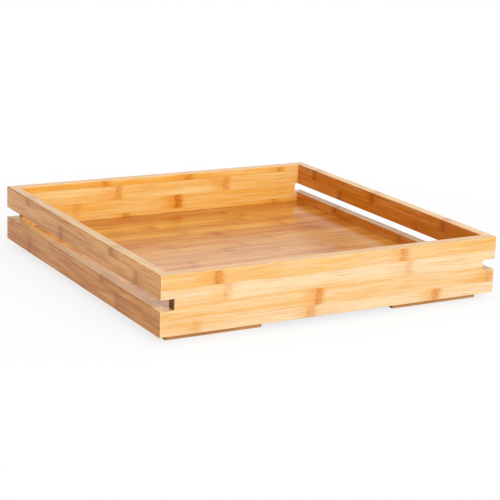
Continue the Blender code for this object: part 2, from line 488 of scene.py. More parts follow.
class BoardPress(NodeGroup):
    """Presses strips into boards with one Geometry Nodes tree.

    The board comes out with X along it from its middle, Y from its outer face inwards and Z up
    from its lower edge.
    """

    KINDS = {float: NUMBER, int: COUNT}

    def __init__(self) -> None:
        """Builds the tree."""
        sizes = {input_name(field.name): self.KINDS[field.type] for field in fields(BoardSizes)}
        inputs = {**GEOMETRY, **sizes, "Strips": COUNT, "Material": "NodeSocketMaterial"}
        super().__init__("GeometryNodeTree", "pressed_board", inputs, GEOMETRY)
        length = self.given["Length"]
        notch_length = self.times(self.given["Notch Length"], 2.0)
        past_board = self.times(self.given["Depth"], 4.0)
        notches = self.cutters("Notch", self.times(length, -0.5), length, notch_length, past_board)
        groove_depth = self.times(self.given["Groove Depth"], 2.0)
        grooves = self.cutters("Groove", 0.0, 0.0, self.times(length, 2.0), groove_depth)
        joined = self.add("GeometryNodeJoinGeometry", {0: notches})
        self.feed(joined, {0: grooves})
        meshes = {"Mesh 1": self.strip_block(), "Mesh 2": joined.outputs[0]}
        cut = self.add("GeometryNodeMeshBoolean", meshes, operation="DIFFERENCE", solver="EXACT")
        real = self.add("GeometryNodeRealizeInstances", {0: cut.outputs["Mesh"]}).outputs[0]
        finish = {"Geometry": real, "Material": self.given["Material"]}
        self.feed(self.taken, {0: self.add("GeometryNodeSetMaterial", finish).outputs[0]})

    def strip_block(self) -> Socket:
        """Adds the block of strips with both ends cut to the joints.

        Returns:
            The block.
        """
        given = self.given
        strips = given["Strips"]
        size = self.combine(given["Length"], given["Depth"], given["Height"])
        rows = self.math("ADD", strips, 1.0)
        counts = {"Size": size, "Vertices X": 2, "Vertices Y": 2, "Vertices Z": rows}
        cube = self.add("GeometryNodeMeshCube", counts).outputs["Mesh"]
        x, y, z = self.split(self.add("GeometryNodeInputPosition").outputs[0])
        depth = self.line(given["Depth"], 0.5, y)
        height_share = self.math("ADD", self.math("DIVIDE", z, given["Height"]), 0.5)
        row = self.math("ROUND", self.times(height_share, strips))
        rows_down = self.minus(self.minus(strips, 1.0), row)
        drop = self.line(rows_down, given["Strip Width"], given["Top Strip"])
        seam = self.math("MINIMUM", self.minus(given["Height"], drop), given["Height"])
        height = self.times(seam, self.math("GREATER_THAN", row, 0.5))
        half = self.line(given["Length"], 0.5, self.times(given["Joint Gap"], -1.0))
        reach = self.minus(half, self.times(depth, given["Mitre"]))
        along = self.times(self.math("SIGN", x), reach)
        placed = {"Geometry": cube, "Position": self.combine(along, depth, height)}
        return self.add("GeometryNodeSetPosition", placed).outputs[0]

    def cutters(self, cut: str, first: Number, step: Number, width: Socket, depth: Socket) -> Socket:
        """Adds the box cutters of one kind of cut.

        Args:
            cut: the kind, as the names of its inputs begin.
            first: how far along the board the first one's middle lies.
            step: how far the next one is from it.
            width: how wide they are along the board.
            depth: how deep they are.

        Returns:
            The cutters.
        """
        bottom = self.given[cut + " Bottom"]
        rise = self.minus(self.given[cut + " Top"], bottom)
        row = {
            "Count": self.given[cut + " Count"],
            "Start Location": self.combine(first, self.given["Depth"], self.line(rise, 0.5, bottom)),
            "Offset": self.combine(step, 0.0, 0.0),
        }
        points = self.add("GeometryNodeMeshLine", row, mode="OFFSET").outputs[0]
        size = {"Size": self.combine(width, depth, rise)}
        box = self.add("GeometryNodeMeshCube", size).outputs["Mesh"]
        boxes = self.add("GeometryNodeInstanceOnPoints", {"Points": points, "Instance": box})
        return self.add("GeometryNodeRealizeInstances", {0: boxes.outputs[0]}).outputs[0]

    def press(self, name: str, sizes: BoardSizes, material: Material) -> Thing:
        """Runs the tree and leaves its result as a plain mesh.

        Args:
            name: the new object's name.
            sizes: the board's sizes.
            material: the board's finish.

        Returns:
            The board, still at the tray's origin.
        """
        board = show(name, bpy.data.meshes.new(name))
        modifier = board.modifiers.new("press", "NODES")
        modifier.node_group = self.tree
        values = {input_name(field): value for field, value in asdict(sizes).items()}
        values.update(Strips=len(sizes.seams()) + 1, Material=material)
        for label, value in values.items():
            modifier[self.given[label].identifier] = value
        made = board.evaluated_get(bpy.context.evaluated_depsgraph_get())
        mesh = bpy.data.meshes.new_from_object(made)
        board.modifiers.remove(modifier)
        board.data = mesh
        mesh.name = name
        mesh.materials.clear()
        mesh.materials.append(material)
        return board


class Easing:
    """Eases the sharp edges of one board's mesh and marks the eased faces for the arris wear and
    painted light.
    """

    def __init__(self, board: Thing, sizes: BoardSizes) -> None:
        """Opens a board's mesh for editing.

        Args:
            board: the board.
            sizes: its sizes.
        """
        self.mesh = board.data
        self.sizes = sizes
        self.shape = bmesh.new()
        self.shape.from_mesh(self.mesh)
        self.arris = self.shape.faces.layers.float.new(ARRIS)
        bmesh.ops.remove_doubles(self.shape, verts=self.shape.verts, dist=TOLERANCE)
        bmesh.ops.recalc_face_normals(self.shape, faces=self.shape.faces)

    def mark(self, faces: list[Face]) -> None:
        """Shades new faces smooth and marks them for the arris wear and painted light.

        Args:
            faces: the faces.
        """
        for face in faces:
            face.smooth = True
            face[self.arris] = 1.0

    def bevel(self, edges: list[Edge], radius: float, segments: int) -> None:
        """Rounds edges.

        Args:
            edges: the edges.
            radius: their radius.
            segments: how many faces the rounding has across it.
        """
        made = bmesh.ops.bevel(
            self.shape,
            geom=edges,
            offset=radius,
            segments=segments,
            profile=0.5,
            affect="EDGES",
            clamp_overlap=True,
            material=-1,
        )
        self.mark(made["faces"])

    def sharp_edges(self) -> list[Edge]:
        """Finds the sharp outside edges, apart from those in a joint.

        Returns:
            The edges.
        """
        found = []
        for edge in self.shape.edges:
            if not edge.is_manifold or edge.calc_face_angle_signed() < SHARP_ANGLE:
                continue
            ends = [vertex.co for vertex in edge.verts]
            in_mitre = all(map(self.sizes.on_mitre, ends)) and ends[0].x * ends[1].x > 0
            if not in_mitre and not all(map(self.sizes.in_groove, ends)):
                found.append(edge)
        return found

    def rim_edges(self) -> list[Edge]:
        """Returns the sharp edges along the board's upper face."""
        rim = self.sizes.height - TOLERANCE
        return [edge for edge in self.sharp_edges() if min(vertex.co.z for vertex in edge.verts) > rim]

    def soften_corners(self) -> None:
        """Cuts a fine facet along each outer corner, half of the corner's rounding."""
        reach = self.sizes.length / 2 - self.sizes.joint_gap - CORNER_RADIUS
        for end in (-1, 1):
            cut = bmesh.ops.bisect_plane(
                self.shape,
                geom=self.shape.verts[:] + self.shape.edges[:] + self.shape.faces[:],
                dist=TOLERANCE,
                plane_co=(end * reach, 0, 0),
                plane_no=(end * sin(CORNER_TURN), -cos(CORNER_TURN), 0),
                clear_outer=True,
            )
            rim = [part for part in cut["geom_cut"] if isinstance(part, Edge)]
            facets = bmesh.ops.holes_fill(self.shape, edges=rim)["faces"]
            self.mark(facets)
            self.split_at_seams(facets)

    def split_at_seams(self, facets: list[Face]) -> None:
        """Splits faces where strips meet, so that each part belongs to one strip.

        Args:
            facets: the faces.
        """
        for height in self.sizes.seams():
            whole = [face for face in facets if face.is_valid]
            parts = {part for face in whole for part in (*face.verts, *face.edges, face)}
            cut = bmesh.ops.bisect_plane(
                self.shape,
                geom=list(parts),
                dist=TOLERANCE,
                plane_co=(0, 0, height),
                plane_no=(0, 0, 1),
            )
            new = [part for part in cut["geom"] if isinstance(part, Face)]
            facets = list(set(whole + new))

    def close(self) -> None:
        """Writes the eased shape back to the board."""
        bmesh.ops.recalc_face_normals(self.shape, faces=self.shape.faces)
        for face in self.shape.faces:
            face.material_index = 0
        self.shape.to_mesh(self.mesh)
        self.shape.free()


@dataclass(frozen=True)
class BambooFinish:
    """Lacquered bamboo: its tones as seen on a screen, and the gloss of its lacquer."""

    slot: str
    pale: ScreenColour
    deep: ScreenColour
    warm: ScreenColour
    knot: ScreenColour
    rim: ScreenColour
    coat_share: float
    streak_share: float
    # Paler than the rim and the deep tone: partly rubbed wear, partly a painted highlight along the
    # arrises.
    worn: ScreenColour = (244, 206, 150)
    roughness: float = 0.42
    coat_roughness: float = 0.22
    bump_share: float = 0.25
    variant: str = ""


@dataclass(frozen=True)
class DowelFinish:
    """Bare turned wood of the dowels."""

    slot: str = "dowel_wood"
    pale: ScreenColour = (232, 204, 162)
    deep: ScreenColour = (208, 168, 116)
    pore: ScreenColour = (120, 84, 50)
    roughness: float = 0.7
    pore_share: float = 0.3
    pore_roughness: float = 0.15
    bump_share: float = 0.3
    relief: float = 0.0002


WALL_FINISH = BambooFinish(
    slot="wall_bamboo",
    pale=(240, 209, 163),
    deep=(235, 178, 90),
    warm=(232, 160, 62),
    knot=(196, 106, 12),
    rim=(228, 168, 84),
    coat_share=0.8,
    coat_roughness=0.2,
    streak_share=1.15,
)
# The back wall's copy of the wall finish, redder and less blue: painted light for the brighter, orange
# bounce light on its inner face.
BACK_FINISH_PAINTED_LIGHT = replace(
    WALL_FINISH,
    pale=(249, 218, 150),
    deep=(241, 182, 80),
    warm=(236, 162, 54),
    rim=(230, 168, 78),
    variant="_back",
)
RAIL_FINISH = BambooFinish(
    slot="rail_bamboo",
    pale=(248, 181, 104),
    deep=(205, 120, 8),
    warm=(198, 107, 4),
    knot=(140, 76, 8),
    # Paler than the rails' wood: painted light that lifts the left lower rail's top out of the slot's
    # shade; lower edge levels darken it again on the other rims.
    rim=(254, 213, 156),
    # Darker than the rails' wood: partly rubbed wear, partly a painted shade line along their arrises.
    worn=(190, 120, 58),
    coat_share=0.33,
    streak_share=2.5,
)
PANEL_FINISH = BambooFinish(
    slot="panel_bamboo",
    pale=(231, 167, 64),
    deep=(184, 98, 3),
    warm=(196, 102, 10),
    knot=(150, 76, 12),
    rim=(206, 140, 66),
    worn=(226, 176, 110),
    roughness=0.38,
    coat_share=0.86,
    streak_share=1.7,
)
# Tones raised as painted light, to lift the feet out of the shadow that the walls over them cast.
FOOT_FINISH_PAINTED_LIGHT = BambooFinish(
    slot="foot_bamboo",
    pale=(250, 192, 118),
    deep=(226, 146, 74),
    warm=(214, 122, 50),
    knot=(150, 80, 34),
    rim=(226, 160, 90),
    roughness=0.45,
    coat_share=0.5,
    streak_share=1.6,
)


class GrainGroup(NodeGroup):
    """The shader group that draws pressed bamboo strips with their fibres, knots and seams."""

    def __init__(self) -> None:
        """Builds the group."""
        inputs = {"Place": VECTOR, "Facing": VECTOR, **dict.fromkeys(TONES, COLOUR), "Streaks": NUMBER}
        outputs = {"Color": COLOUR, "Height": NUMBER, "Dullness": NUMBER}
        super().__init__(SHADER_TREE, "pressed_bamboo", inputs, outputs)
        self.deep_share, self.warm_share, self.seed = self.split(self.attribute(STRIP_LOOK))
        self.low, self.high, self.painted_edge_light = self.split(self.attribute(STRIP_SPAN_AND_EDGE_LIGHT))
        self.x, self.y, _ = self.split(self.given["Place"])
        facing = self.split(self.given["Facing"])
        self.end_grain_shade_share = self.smooth(self.math("ABSOLUTE", facing[0]), *END_GRAIN_SHADE_LEVELS)
        self.edge_on = self.math("ABSOLUTE", facing[1])
        self.own_place = self.strip_place()
        self.mottle = self.noise(self.own_place, Pattern.MOTTLING)
        self.streak = self.noise(self.own_place, Pattern.STREAKS)
        self.fibre = self.noise(self.own_place, Pattern.FIBRES)
        self.fleck = self.smooth(self.noise(self.own_place, Pattern.FLECKS), *FLECK_LEVELS)
        self.from_knot, self.knot_share, self.passed = self.nearest_knot()
        self.ring = self.knot_ring()
        self.seam = self.glue_seam()
        drawn = {"Color": self.colour(), "Height": self.height(), "Dullness": self.dullness()}
        self.feed(self.taken, drawn)

    def strip_place(self) -> Socket:
        """Moves the pattern's point apart for each strip, and bends it gently as fibres are.

        Returns:
            The point.
        """
        place = self.given["Place"]
        bend = self.vector("SUBTRACT", self.noise(place, Pattern.BENDS, output=1), (0.5, 0.5, 0.5))
        bent = self.vector("ADD", place, self.vector("MULTIPLY", bend, BEND_REACH))
        apart = [self.times(self.seed, step) for step in SEED_STEPS]
        return self.vector("ADD", bent, self.combine(*apart))

    def nearest_knot(self) -> tuple[Socket, Socket, Socket]:
        """Finds the nearest of the strip's three knots.

        Returns:
            The distance from it in metres with its outline made uneven, how strongly it shows, and
            how many of the strip's knots lie to the left or in front.
        """
        nearest, share, passed = FAR_OFF, 0.0, 0.0
        knots = zip(self.split(self.attribute(KNOT_PLACES)), self.split(self.attribute(KNOT_SHARES)))
        for place, its_share in knots:
            distance = self.minus(self.x, place)
            away = self.math("ABSOLUTE", distance)
            closer = self.math("LESS_THAN", away, self.math("ABSOLUTE", nearest))
            nearest = self.line(closer, self.minus(distance, nearest), nearest)
            share = self.line(closer, self.minus(its_share, share), share)
            passed = self.math("ADD", passed, self.math("GREATER_THAN", distance, 0.0))
        outline = self.noise(self.own_place, Pattern.KNOT_OUTLINE)
        share = self.times(share, self.line(self.edge_on, *KNOT_EDGE_SHARES))
        return self.sway(outline, KNOT_UNEVENNESS, nearest), share, passed

    def patches(self, levels: tuple[float, float], shares: tuple[float, float]) -> Socket:
        """Returns how patchy a knot or the wood round it is."""
        return self.line(self.smooth(self.mottle, *levels), *shares)

    def halo(self) -> Socket:
        """Draws the warmer wood round a knot, most of it to its left or in front.

        Returns:
            The mask.
        """
        rising = self.smooth(self.from_knot, *HALO_RISE)
        shape = self.times(rising, self.fade(self.from_knot, *HALO_FALL))
        patchy = self.times(shape, self.patches(HALO_LEVELS, HALO_SHARES))
        return self.times(patchy, self.knot_share, clamp=True)

    def knot_ring(self) -> Socket:
        """Draws the knot itself, a mottled band with a broken darker line in it.

        Returns:
            The mask.
        """
        band = self.fade(self.math("ABSOLUTE", self.from_knot), *KNOT_FALL)
        spots = self.times(band, self.patches(KNOT_LEVELS, KNOT_SPOT_SHARES))
        beside_line = self.math("ABSOLUTE", self.math("ADD", self.from_knot, KNOT_LINE_OFFSET))
        broken = self.smooth(self.noise(self.own_place, Pattern.KNOT_LINE), *KNOT_LINE_LEVELS)
        line = self.times(self.fade(beside_line, *KNOT_LINE_FALL), broken)
        whole = self.line(line, KNOT_LINE_SHARE, spots)
        return self.times(whole, self.knot_share, clamp=True)

    def glue_seam(self) -> Socket:
        """Returns the mask of the glue seams along both edges of a strip."""
        nearer = self.math("MINIMUM", self.minus(self.y, self.low), self.minus(self.high, self.y))
        return self.fade(nearer, *SEAM_FALL)

    def body_tone(self) -> Socket:
        """Draws the wood's own colour, which shifts from strip to strip and at each knot.

        Returns:
            The colour.
        """
        broad = self.noise(self.own_place, Pattern.BROAD)
        tone = self.sway(broad, TONE_SHARE, self.deep_share)
        tone = self.sway(self.streak, self.given["Streaks"], tone)
        between = self.chance(self.passed, self.seed)
        tone = self.sway(between, KNOT_TO_KNOT_SHARE, tone, clamp=True)
        colour = self.blend(tone, self.given["Pale"], self.given["Deep"])
        warm = self.line(self.smooth(broad, *WARM_LEVELS), WARM_PATCH_SHARE, self.warm_share)
        return self.blend(warm, colour, self.given["Warm"])

    def edge_tone(self) -> Socket:
        """Draws the streaked colour of a board's narrow edges, scaled by the board's edge level of
        painted light.

        Returns:
            The colour.
        """
        level = self.times(self.painted_edge_light, self.line(self.streak, *EDGE_STREAK_SHARES))
        rim = {0: self.given["Rim"], "Scale": level}
        return self.add("ShaderNodeVectorMath", rim, operation="SCALE").outputs[0]

    def darken(self, colour: Socket, mask: Socket, most_share: float) -> Socket:
        """Returns a colour darkened by up to a share where a mask is high."""
        return self.blend(self.times(mask, most_share), colour, DARK_WOOD)

    def colour(self) -> Socket:
        """Lays everything that shows in the wood's colour over it, one after another.

        Returns:
            The colour.
        """
        knot = self.given["Knot"]
        colour = self.blend(self.times(self.edge_on, EDGE_SHARE), self.body_tone(), self.edge_tone())
        colour = self.blend(self.halo(), colour, self.given["Warm"])
        colour = self.darken(colour, self.smooth(self.fibre, *FIBRE_LEVELS), FIBRE_SHARE)
        colour = self.blend(self.times(self.fleck, FLECK_SHARE), colour, knot)
        colour = self.blend(self.ring, colour, knot)
        colour = self.darken(colour, self.seam, SEAM_SHARE)
        # End grain takes a tone that is partly its own and partly painted shade.
        return self.blend(self.end_grain_shade_share, colour, linear_colour(END_GRAIN_AND_SHADE))

    def height(self) -> Socket:
        """Returns the height, raised at fibres and knots and sunk at seams."""
        height = self.line(self.ring, KNOT_HEIGHT_SHARE, self.times(self.fibre, FIBRE_HEIGHT_SHARE))
        return self.line(self.seam, SEAM_HEIGHT_SHARE, height)

    def dullness(self) -> Socket:
        """Returns how dull knots, flecks and end grain are."""
        dullness = self.line(self.ring, DULL_SHARE, self.times(self.fleck, DULL_SHARE), clamp=True)
        return self.math("MAXIMUM", dullness, self.end_grain_shade_share)


class LacquerGroup(NodeGroup):
    """The shader group that draws the lacquer: brushed a little unevenly, and duller over knots."""

    def __init__(self) -> None:
        """Builds the group."""
        inputs = {"Place": VECTOR, "Roughness": NUMBER, "Coat": NUMBER, "Dullness": NUMBER}
        outputs = {"Roughness": NUMBER, "Coat Weight": NUMBER}
        super().__init__(SHADER_TREE, "satin_lacquer", inputs, outputs)
        dullness = self.given["Dullness"]
        brushed = self.noise(self.given["Place"], Pattern.BRUSH_MARKS)
        rough = self.sway(brushed, BRUSHED_ROUGH_SHARE, self.given["Roughness"])
        rough = self.line(dullness, DULL_ROUGH_SHARE, rough)
        thin = self.sway(brushed, BRUSHED_COAT_SHARE, self.line(dullness, DULL_COAT_SHARE, 1.0))
        coat = self.times(self.given["Coat"], thin, clamp=True)
        self.feed(self.taken, {"Roughness": rough, "Coat Weight": coat})


class ArrisWearAndLightGroup(NodeGroup):
    """The shader group that rubs the eased arrises duller here and there and tints them, partly as wear
    and partly as a painted highlight where the arris tone is paler and a painted shade where it is
    darker.
    """

    def __init__(self) -> None:
        """Builds the group."""
        inputs = {"Place": VECTOR, "Color": COLOUR, "Worn": COLOUR}
        super().__init__(SHADER_TREE, "worn_arris", inputs, {"Color": COLOUR, "Wear": NUMBER})
        rubbed = self.smooth(self.noise(self.given["Place"], Pattern.RUBBING), *RUBBED_LEVELS)
        wear = self.times(self.attribute(ARRIS, "Fac"), self.line(rubbed, *RUBBED_SHARES))
        colour = self.blend(wear, self.given["Color"], self.given["Worn"])
        self.feed(self.taken, {"Color": colour, "Wear": wear})


class Workshop:
    """Holds the board press and makes the tray's materials from the shared shader groups."""

    def __init__(self) -> None:
        """Sets up the press and builds the shared groups."""
        self.press = BoardPress()
        self.grain = GrainGroup()
        self.lacquer = LacquerGroup()
        self.wear = ArrisWearAndLightGroup()

    @staticmethod
    def new_material(name: str) -> tuple[Material, NodeBench, Node]:
        """Starts a material.

        Args:
            name: the material's name.

        Returns:
            The material, its bench and its shader.
        """
        material = bpy.data.materials.new(name)
        material.use_nodes = True
        return material, NodeBench(material.node_tree), material.node_tree.nodes["Principled BSDF"]

    @cache
    def bamboo(self, finish: BambooFinish, lie: Lie) -> Material:
        """Makes a bamboo finish for boards that lie one way.

        Args:
            finish: the finish's tones and gloss.
            lie: which way the boards lie.

        Returns:
            The material.
        """
        name = f"{finish.slot}{finish.variant}_{lie.name.lower()}"
        material, bench, shader = self.new_material(name)
        turned = {"Vector": bench.coordinates("Object"), "Rotation": lie.turn()}
        place = bench.add("ShaderNodeMapping", turned).outputs[0]
        turned["Vector"] = bench.coordinates("Normal")
        facing = bench.add("ShaderNodeMapping", turned, vector_type="NORMAL").outputs[0]
        looks = {tone: linear_colour(getattr(finish, tone.lower())) for tone in TONES}
        looks.update(Place=place, Facing=facing, Streaks=finish.streak_share)
        grain = self.grain.use(bench, looks)
        worn = {"Place": place, "Color": grain["Color"], "Worn": linear_colour(finish.worn)}
        wear = self.wear.use(bench, worn)
        gloss = {
            "Place": place,
            "Roughness": finish.roughness,
            "Coat": finish.coat_share,
            "Dullness": bench.math("MAXIMUM", grain["Dullness"], wear["Wear"]),
        }
        lacquer = self.lacquer.use(bench, gloss)
        surface = {
            "Base Color": wear["Color"],
            "Roughness": lacquer["Roughness"],
            "Coat Weight": lacquer["Coat Weight"],
            "Coat Roughness": finish.coat_roughness,
            "Specular IOR Level": SPECULAR_SHARE,
            "Normal": bench.relief(grain["Height"], finish.bump_share, BAMBOO_RELIEF),
        }
        bench.feed(shader, surface)
        return material

    def bare_wood(self, finish: DowelFinish) -> Material:
        """Makes the dowels' material, with rings and fine pores.

        Args:
            finish: the finish's tones.

        Returns:
            The material.
        """
        material, bench, shader = self.new_material(finish.slot + "_turned")
        place = bench.coordinates("Object")
        rings = bench.noise(place, Pattern.DOWEL_RINGS)
        pores = bench.smooth(bench.noise(place, Pattern.DOWEL_PORES), *PORE_LEVELS)
        colour = bench.blend(rings, linear_colour(finish.pale), linear_colour(finish.deep))
        pore_share = bench.times(pores, finish.pore_share)
        surface = {
            "Base Color": bench.blend(pore_share, colour, linear_colour(finish.pore)),
            "Roughness": bench.line(pores, finish.pore_roughness, finish.roughness),
            "Normal": bench.relief(bench.minus(rings, pores), finish.bump_share, finish.relief),
        }
        bench.feed(shader, surface)
        return material


@dataclass(frozen=True)
class PressedBoard:
    """One board of the tray: what it is pressed from, its finish, how it lies, its sizes and place."""

    layup: Layup
    finish: BambooFinish
    lie: Lie
    sizes: BoardSizes
    place: Matrix

    def build(self, shop: Workshop) -> Thing:
        """Makes the board, eases its edges and lays it in its place.

        Args:
            shop: what presses it and makes its finish.

        Returns:
            The board.
        """
        material = shop.bamboo(self.finish, self.lie)
        board = shop.press.press(self.layup.node + "_board", self.sizes, material)
        self.ease(Easing(board, self.sizes))
        self.name_strips(board.data)
        board.data.transform(self.place)
        return board

    def ease(self, easing: Easing) -> None:
        """Rounds the arrises and the outer corners of a mitred board.

        Args:
            easing: the board's open mesh.
        """
        if self.sizes.mitre:
            easing.bevel(easing.rim_edges(), RIM_RADIUS, RIM_SEGMENTS)
            easing.bevel(easing.sharp_edges(), ARRIS_RADIUS, ARRIS_SEGMENTS)
            easing.soften_corners()
        easing.close()

    def name_strips(self, mesh: bpy.types.Mesh) -> None:
        """Writes each face's strip to the mesh, for the finish to read.

        Args:
            mesh: the board's mesh.
        """
        chooser = random.Random(self.layup.node)
        seams = self.sizes.seams()
        base = self.lie.pattern_point(self.place.translation).y
        levels = [OPEN_SPAN, *(base + seam for seam in seams), -OPEN_SPAN]
        seeds = [chooser.uniform(0, MOST_SEED) for _ in levels[1:]]
        first_end = -self.sizes.length / 2
        lists = {STRIP_LOOK: [], KNOT_PLACES: [], KNOT_SHARES: [], STRIP_SPAN_AND_EDGE_LIGHT: []}
        for face in mesh.polygons:
            index = sum(face.center.z < seam for seam in seams)
            strip = self.layup.strips[index]
            knots = strip.three_knots()
            lists[STRIP_LOOK] += [strip.deep_share, strip.warm_share, seeds[index]]
            lists[KNOT_PLACES] += [first_end + knot.place for knot in knots]
            lists[KNOT_SHARES] += [knot.share for knot in knots]
            lists[STRIP_SPAN_AND_EDGE_LIGHT] += [levels[index + 1], levels[index], self.layup.painted_edge_light]
        for name, numbers in lists.items():
            attribute = mesh.attributes.new(name, "FLOAT_VECTOR", "FACE")
            attribute.data.foreach_set("vector", numbers)


class SubAssembly:
    """A part of the tray that is made of pressed boards."""

    def boards(self) -> list[PressedBoard]:
        """Returns the boards that the part is made of."""
        raise NotImplementedError

    def build(self, shop: Workshop) -> list[Thing]:
        """Makes and dresses the boards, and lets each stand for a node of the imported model.

        Args:
            shop: what presses the boards and makes their finishes.

        Returns:
            The boards.
        """
        pieces = []
        for board in self.boards():
            piece = board.build(shop)
            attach(piece, ROOT_BODY)
            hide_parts(board.layup.node)
            pieces.append(piece)
        return pieces


def extents(node: str) -> Place:
    """Returns how far a node's box reaches along X, Y and Z."""
    low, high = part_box(node)
    return high.x - low.x, high.y - low.y, high.z - low.z


def wall_groove() -> dict[str, float]:
    """Works out the panel's groove, measured from the boards' lower edge.

    Returns:
        Its sizes, as fields of a board's sizes.
    """
    panel_low, panel_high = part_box("bottom_panel")
    wall_low, wall_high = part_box("front_wall")
    return {
        "groove_count": 1,
        "groove_depth": wall_high.y - panel_low.y + GROOVE_GAP,
        "groove_bottom": panel_low.z - GROOVE_GAP - wall_low.z,
        "groove_top": panel_high.z + GROOVE_GAP - wall_low.z,
    }


def beside(node: str, reach: float, height: float) -> Matrix:
    """Returns the place, at a reach and a height, of a board on the side that its node names."""
    turn = TURNS[node.split("_")[0]]
    return Matrix.Rotation(turn, 4, "Z") @ Matrix.Translation((0, -reach, height))


@dataclass(frozen=True)
class Walls(SubAssembly):
    """The front and back walls, with a notch through each end."""

    notch_past_rail: float = 0.0035
    front: Layup = Layup("front_wall", top_strip=0.015, strips=(
        Strip(0.72, 0.04, (Knot(0.062, 1.0), Knot(0.2795, 0.7))),
        Strip(0.18, 0.0, (Knot(0.0725, 0.35), Knot(0.287, 0.3))),
        Strip(0.47, 0.02, (Knot(0.178, 0.9), Knot(0.392, 0.5))),
        Strip(0.22, 0.0, (Knot(0.041, 0.3), Knot(0.17, 0.55), Knot(0.324, 0.9))),
    ))
    back: Layup = Layup("back_wall", top_strip=0.008, strips=(
        Strip(0.72, 0.05, (Knot(0.1195, 0.8), Knot(0.2315, 0.9), Knot(0.361, 0.7))),
        Strip(0.46, 0.0, (Knot(0.136, 0.55), Knot(0.283, 0.6))),
        Strip(0.76, 0.05, (Knot(0.082, 0.3), Knot(0.2175, 1.4))),
        Strip(0.9, 0.1, (Knot(0.148, 0.8), Knot(0.3545, 0.8))),
    ))

    def boards(self) -> list[PressedBoard]:
        """Describes both walls.

        Returns:
            The walls.
        """
        length = CAD_BOX[1].x - CAD_BOX[0].x
        _, depth, height = extents("front_wall")
        lower_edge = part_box("front_wall")[0].z
        cuts = {
            "mitre": 1.0,
            "notch_count": 2,
            "notch_length": depth + self.notch_past_rail,
            "notch_bottom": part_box("left_lower_rail")[1].z - lower_edge,
            "notch_top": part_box("left_upper_rail")[0].z - lower_edge,
            **wall_groove(),
        }
        walls = []
        for layup, finish in ((self.front, WALL_FINISH), (self.back, BACK_FINISH_PAINTED_LIGHT)):
            sizes = BoardSizes(length, height, depth, layup.top_strip, **cuts)
            place = beside(layup.node, CAD_BOX[1].y, lower_edge)
            walls.append(PressedBoard(layup, finish, Lie.ALONG_X, sizes, place))
        return walls


@dataclass(frozen=True)
class SideRails(SubAssembly):
    """The upper and the lower rail of both sides, with the open slot between them."""

    rails: tuple[Layup, ...] = (
        Layup("left_upper_rail", top_strip=0.0095, painted_edge_light=0.765, strips=(
            Strip(0.25, 0.0, (Knot(0.1125, 0.65), Knot(0.336, 0.5))),
            Strip(0.05, 0.0, (Knot(0.054, 0.55), Knot(0.241, 0.6))),
        )),
        Layup("left_lower_rail", top_strip=0.008, strips=(
            Strip(0.5, 0.0, (Knot(0.1355, 0.6), Knot(0.269, 0.3), Knot(0.385, 0.4))),
            Strip(0.65, 0.05, (Knot(0.095, 0.55), Knot(0.33, 0.65))),
        )),
        Layup("right_upper_rail", top_strip=0.013, painted_edge_light=0.97, strips=(
            Strip(0.85, 0.2, (Knot(0.08, 0.9), Knot(0.221, 0.9), Knot(0.349, 0.9))),
            Strip(0.95, 0.4, (Knot(0.13, 0.5), Knot(0.2905, 0.8))),
        )),
        Layup("right_lower_rail", top_strip=0.008, painted_edge_light=0.79, strips=(
            Strip(0.85, 0.3, (Knot(0.16, 0.6), Knot(0.3, 0.8))),
            Strip(0.7, 0.3, (Knot(0.12, 0.7), Knot(0.34, 0.6))),
        )),
    )

    def boards(self) -> list[PressedBoard]:
        """Describes the four rails.

        Returns:
            The rails.
        """
        length = CAD_BOX[1].y - CAD_BOX[0].y
        boards = []
        for layup in self.rails:
            depth, _, height = extents(layup.node)
            groove = wall_groove() if "lower" in layup.node else {}
            sizes = BoardSizes(length, height, depth, layup.top_strip, mitre=1.0, **groove)
            place = beside(layup.node, CAD_BOX[1].x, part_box(layup.node)[0].z)
            boards.append(PressedBoard(layup, RAIL_FINISH, Lie.ALONG_Y, sizes, place))
        return boards


